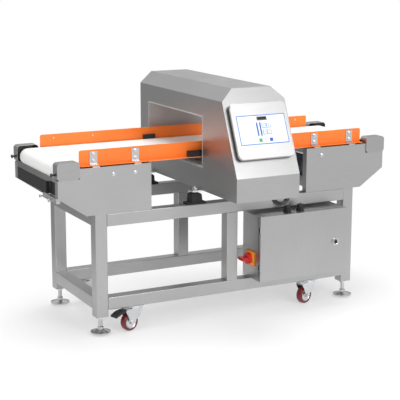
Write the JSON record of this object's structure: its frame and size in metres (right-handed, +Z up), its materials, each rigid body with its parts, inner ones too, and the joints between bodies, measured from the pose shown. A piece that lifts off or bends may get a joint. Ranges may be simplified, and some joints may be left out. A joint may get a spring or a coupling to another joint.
{
  "type": "conveyor metal detector",
  "caption": "Belt conveyor passing through a tunnel metal detector head with a sloped control unit, on a square-tube stand with levelling feet, braked casters and a power cabinet.",
  "frame": {"origin": "on the floor, midway between the outermost points along X and along Y", "axes": "+X along the conveyor from infeed to outfeed, +Y from the operator's side to the back, +Z up"},
  "size_m": [1.524, 0.876, 0.97],
  "materials": {
    "stainless_tube": "satin",
    "stainless_sheet": "brushed",
    "cover_sheet": "satin",
    "bracket_steel": "satin",
    "clamp_steel": "satin",
    "cabinet_sheet": "brushed",
    "panel_sheet": "satin",
    "zinc_steel": "zinc plated",
    "roller_steel": "ground",
    "foot_steel": "satin",
    "lock_metal": "polished",
    "pulley_metal": "turned",
    "dark_sheet": "matt",
    "rail_orange": "satin powder coat",
    "motor_grey": "satin",
    "belt_white": "smooth",
    "board_resin": "matt",
    "block_black": "matt",
    "sensor_black": "satin",
    "drive_rubber": "matt",
    "liner_plastic": "satin",
    "coil_copper": "lacquered",
    "mount_rubber": "matt",
    "conduit_black": "satin",
    "gasket_black": "matt",
    "overlay_foil": "satin",
    "key_white": "satin",
    "key_green": "satin",
    "key_blue": "satin",
    "wheel_red": "satin",
    "pedal_black": "satin",
    "switch_yellow": "satin",
    "switch_red": "satin",
    "gland_black": "matt",
    "device_grey": "satin"
  },
  "bodies": {
    "machine": {"frame_legs": "stainless_tube", "frame_rails": "stainless_tube", "foot_locknuts": "zinc_steel", "caster_plates": "zinc_steel", "side_plates": "stainless_sheet", "roller_covers": "cover_sheet", "end_panels": "dark_sheet", "end_clamp": "clamp_steel", "conveyor_belt": "belt_white", "drive_blocks": "block_black", "slider_board": "board_resin", "guide_rails": "rail_orange", "rail_supports": "bracket_steel", "photo_sensor": "sensor_black", "gear_motor": "motor_grey", "drive_belt": "drive_rubber", "head_case": "stainless_sheet", "tunnel_liner": "liner_plastic", "search_coils": "coil_copper", "head_ears": "zinc_steel", "vibration_mounts": "mount_rubber", "cable_loop": "conduit_black", "control_base": "gasket_black", "control_cover": "panel_sheet", "control_overlay": "overlay_foil", "cabinet_box": "cabinet_sheet", "door_hinges": "zinc_steel", "switch_plate": "switch_yellow", "cable_glands": "gland_black", "mounting_plate": "device_grey"},
    "foot_front_left": {"levelling_foot_front_left": "foot_steel"},
    "fork_front_left": {"caster_fork_front_left": "zinc_steel"},
    "wheel_front_left": {"caster_wheel_front_left": "wheel_red"},
    "pedal_front_left": {"caster_pedal_front_left": "pedal_black"},
    "foot_front_right": {"levelling_foot_front_right": "foot_steel"},
    "fork_front_right": {"caster_fork_front_right": "zinc_steel"},
    "wheel_front_right": {"caster_wheel_front_right": "wheel_red"},
    "foot_rear_left": {"levelling_foot_rear_left": "foot_steel"},
    "fork_rear_left": {"caster_fork_rear_left": "zinc_steel"},
    "wheel_rear_left": {"caster_wheel_rear_left": "wheel_red"},
    "pedal_rear_left": {"caster_pedal_rear_left": "pedal_black"},
    "foot_rear_right": {"levelling_foot_rear_right": "foot_steel"},
    "fork_rear_right": {"caster_fork_rear_right": "zinc_steel"},
    "wheel_rear_right": {"caster_wheel_rear_right": "wheel_red"},
    "take_up": {"tail_blocks": "block_black"},
    "tail_roll": {"tail_roller": "roller_steel"},
    "drive_roll": {"drive_roller": "roller_steel"},
    "snub_left": {"snub_roller_left": "roller_steel"},
    "snub_right": {"snub_roller_right": "roller_steel"},
    "pulley": {"motor_pulley": "pulley_metal"},
    "door": {"cabinet_door": "cabinet_sheet"},
    "lock": {"cabinet_lock": "lock_metal"},
    "switch": {"switch_handle": "switch_red"},
    "key_up_body": {"key_up": "key_white"},
    "key_plus_body": {"key_plus": "key_white"},
    "key_down_body": {"key_down": "key_white"},
    "key_minus_body": {"key_minus": "key_white"},
    "key_start_body": {"key_start": "key_green"},
    "key_menu_body": {"key_menu": "key_blue"}
  },
  "joints": [
    {"name": "foot_screw_front_left", "type": "slide", "parent": "machine", "child": "foot_front_left", "axis": [0, 0, -1], "range_m": [0, 0.02]},
    {"name": "foot_screw_front_right", "type": "slide", "parent": "machine", "child": "foot_front_right", "axis": [0, 0, -1], "range_m": [0, 0.02]},
    {"name": "foot_screw_rear_left", "type": "slide", "parent": "machine", "child": "foot_rear_left", "axis": [0, 0, -1], "range_m": [0, 0.02]},
    {"name": "foot_screw_rear_right", "type": "slide", "parent": "machine", "child": "foot_rear_right", "axis": [0, 0, -1], "range_m": [0, 0.02]},
    {"name": "caster_swivel_front_left", "type": "hinge", "parent": "machine", "child": "fork_front_left", "pos_m": [-0.419, -0.125, 0.092], "axis": [0, 0, 1], "continuous": true},
    {"name": "caster_roll_front_left", "type": "hinge", "parent": "fork_front_left", "child": "wheel_front_left", "pos_m": [-0.44563, -0.13365, 0.0375], "axis": [-0.309, 0.9511, 0], "continuous": true},
    {"name": "caster_brake_front_left", "type": "hinge", "parent": "fork_front_left", "child": "pedal_front_left", "pos_m": [-0.47131, -0.142, 0.08805], "axis": [0.309, -0.9511, 0], "range_deg": [0, 8]},
    {"name": "caster_swivel_front_right", "type": "hinge", "parent": "machine", "child": "fork_front_right", "pos_m": [0.405, -0.125, 0.092], "axis": [0, 0, 1], "continuous": true},
    {"name": "caster_roll_front_right", "type": "hinge", "parent": "fork_front_right", "child": "wheel_front_right", "pos_m": [0.37869, -0.13458, 0.0375], "axis": [-0.342, 0.9397, 0], "continuous": true},
    {"name": "caster_swivel_rear_left", "type": "hinge", "parent": "machine", "child": "fork_rear_left", "pos_m": [-0.419, 0.325, 0.092], "axis": [0, 0, 1], "continuous": true},
    {"name": "caster_roll_rear_left", "type": "hinge", "parent": "fork_rear_left", "child": "wheel_rear_left", "pos_m": [-0.44563, 0.31635, 0.0375], "axis": [-0.309, 0.9511, 0], "continuous": true},
    {"name": "caster_brake_rear_left", "type": "hinge", "parent": "fork_rear_left", "child": "pedal_rear_left", "pos_m": [-0.47131, 0.308, 0.08805], "axis": [0.309, -0.9511, 0], "range_deg": [0, 8]},
    {"name": "caster_swivel_rear_right", "type": "hinge", "parent": "machine", "child": "fork_rear_right", "pos_m": [0.405, 0.325, 0.092], "axis": [0, 0, 1], "continuous": true},
    {"name": "caster_roll_rear_right", "type": "hinge", "parent": "fork_rear_right", "child": "wheel_rear_right", "pos_m": [0.37869, 0.31542, 0.0375], "axis": [-0.342, 0.9397, 0], "continuous": true},
    {"name": "belt_take_up", "type": "slide", "parent": "machine", "child": "take_up", "axis": [1, 0, 0], "range_m": [0, 0.01]},
    {"name": "drive_roller_turn", "type": "hinge", "parent": "machine", "child": "drive_roll", "pos_m": [0.719, 0.1, 0.659], "axis": [0, 1, 0], "continuous": true},
    {"name": "tail_roller_turn", "type": "hinge", "parent": "take_up", "child": "tail_roll", "pos_m": [-0.701, 0.1, 0.659], "axis": [0, 1, 0], "continuous": true},
    {"name": "snub_roller_turn_left", "type": "hinge", "parent": "machine", "child": "snub_left", "pos_m": [-0.376, 0.1, 0.658], "axis": [0, 1, 0], "continuous": true},
    {"name": "snub_roller_turn_right", "type": "hinge", "parent": "machine", "child": "snub_right", "pos_m": [0.394, 0.1, 0.658], "axis": [0, 1, 0], "continuous": true},
    {"name": "motor_pulley_turn", "type": "hinge", "parent": "machine", "child": "pulley", "pos_m": [0.624, 0.313, 0.566], "axis": [0, 1, 0], "continuous": true},
    {"name": "door_hinge", "type": "hinge", "parent": "machine", "child": "door", "pos_m": [0.1065, -0.2235, 0.2895], "axis": [0, 0, -1], "range_deg": [0, 110]},
    {"name": "lock_turn", "type": "hinge", "parent": "door", "child": "lock", "pos_m": [0.467, -0.233, 0.2845], "axis": [0, 1, 0], "range_deg": [0, 90]},
    {"name": "main_switch_turn", "type": "hinge", "parent": "machine", "child": "switch", "pos_m": [0.101, -0.154, 0.239], "axis": [1, 0, 0], "range_deg": [0, 90]},
    {"name": "key_up_press", "type": "slide", "parent": "machine", "child": "key_up_body", "axis": [0, 0.9165, -0.3999], "range_m": [0, 0.0006], "stiffness_N_per_m": 1500},
    {"name": "key_plus_press", "type": "slide", "parent": "machine", "child": "key_plus_body", "axis": [0, 0.9165, -0.3999], "range_m": [0, 0.0006], "stiffness_N_per_m": 1500},
    {"name": "key_down_press", "type": "slide", "parent": "machine", "child": "key_down_body", "axis": [0, 0.9165, -0.3999], "range_m": [0, 0.0006], "stiffness_N_per_m": 1500},
    {"name": "key_minus_press", "type": "slide", "parent": "machine", "child": "key_minus_body", "axis": [0, 0.9165, -0.3999], "range_m": [0, 0.0006], "stiffness_N_per_m": 1500},
    {"name": "key_start_press", "type": "slide", "parent": "machine", "child": "key_start_body", "axis": [0, 0.9165, -0.3999], "range_m": [0, 0.0006], "stiffness_N_per_m": 1500},
    {"name": "key_menu_press", "type": "slide", "parent": "machine", "child": "key_menu_body", "axis": [0, 0.9165, -0.3999], "range_m": [0, 0.0006], "stiffness_N_per_m": 1500}
  ],
  "couplings": [
    {"joint": "tail_roller_turn", "follows": "drive_roller_turn", "ratio": 1},
    {"joint": "snub_roller_turn_left", "follows": "drive_roller_turn", "ratio": -2},
    {"joint": "snub_roller_turn_right", "follows": "drive_roller_turn", "ratio": -2},
    {"joint": "motor_pulley_turn", "follows": "drive_roller_turn", "ratio": 1}
  ]
}
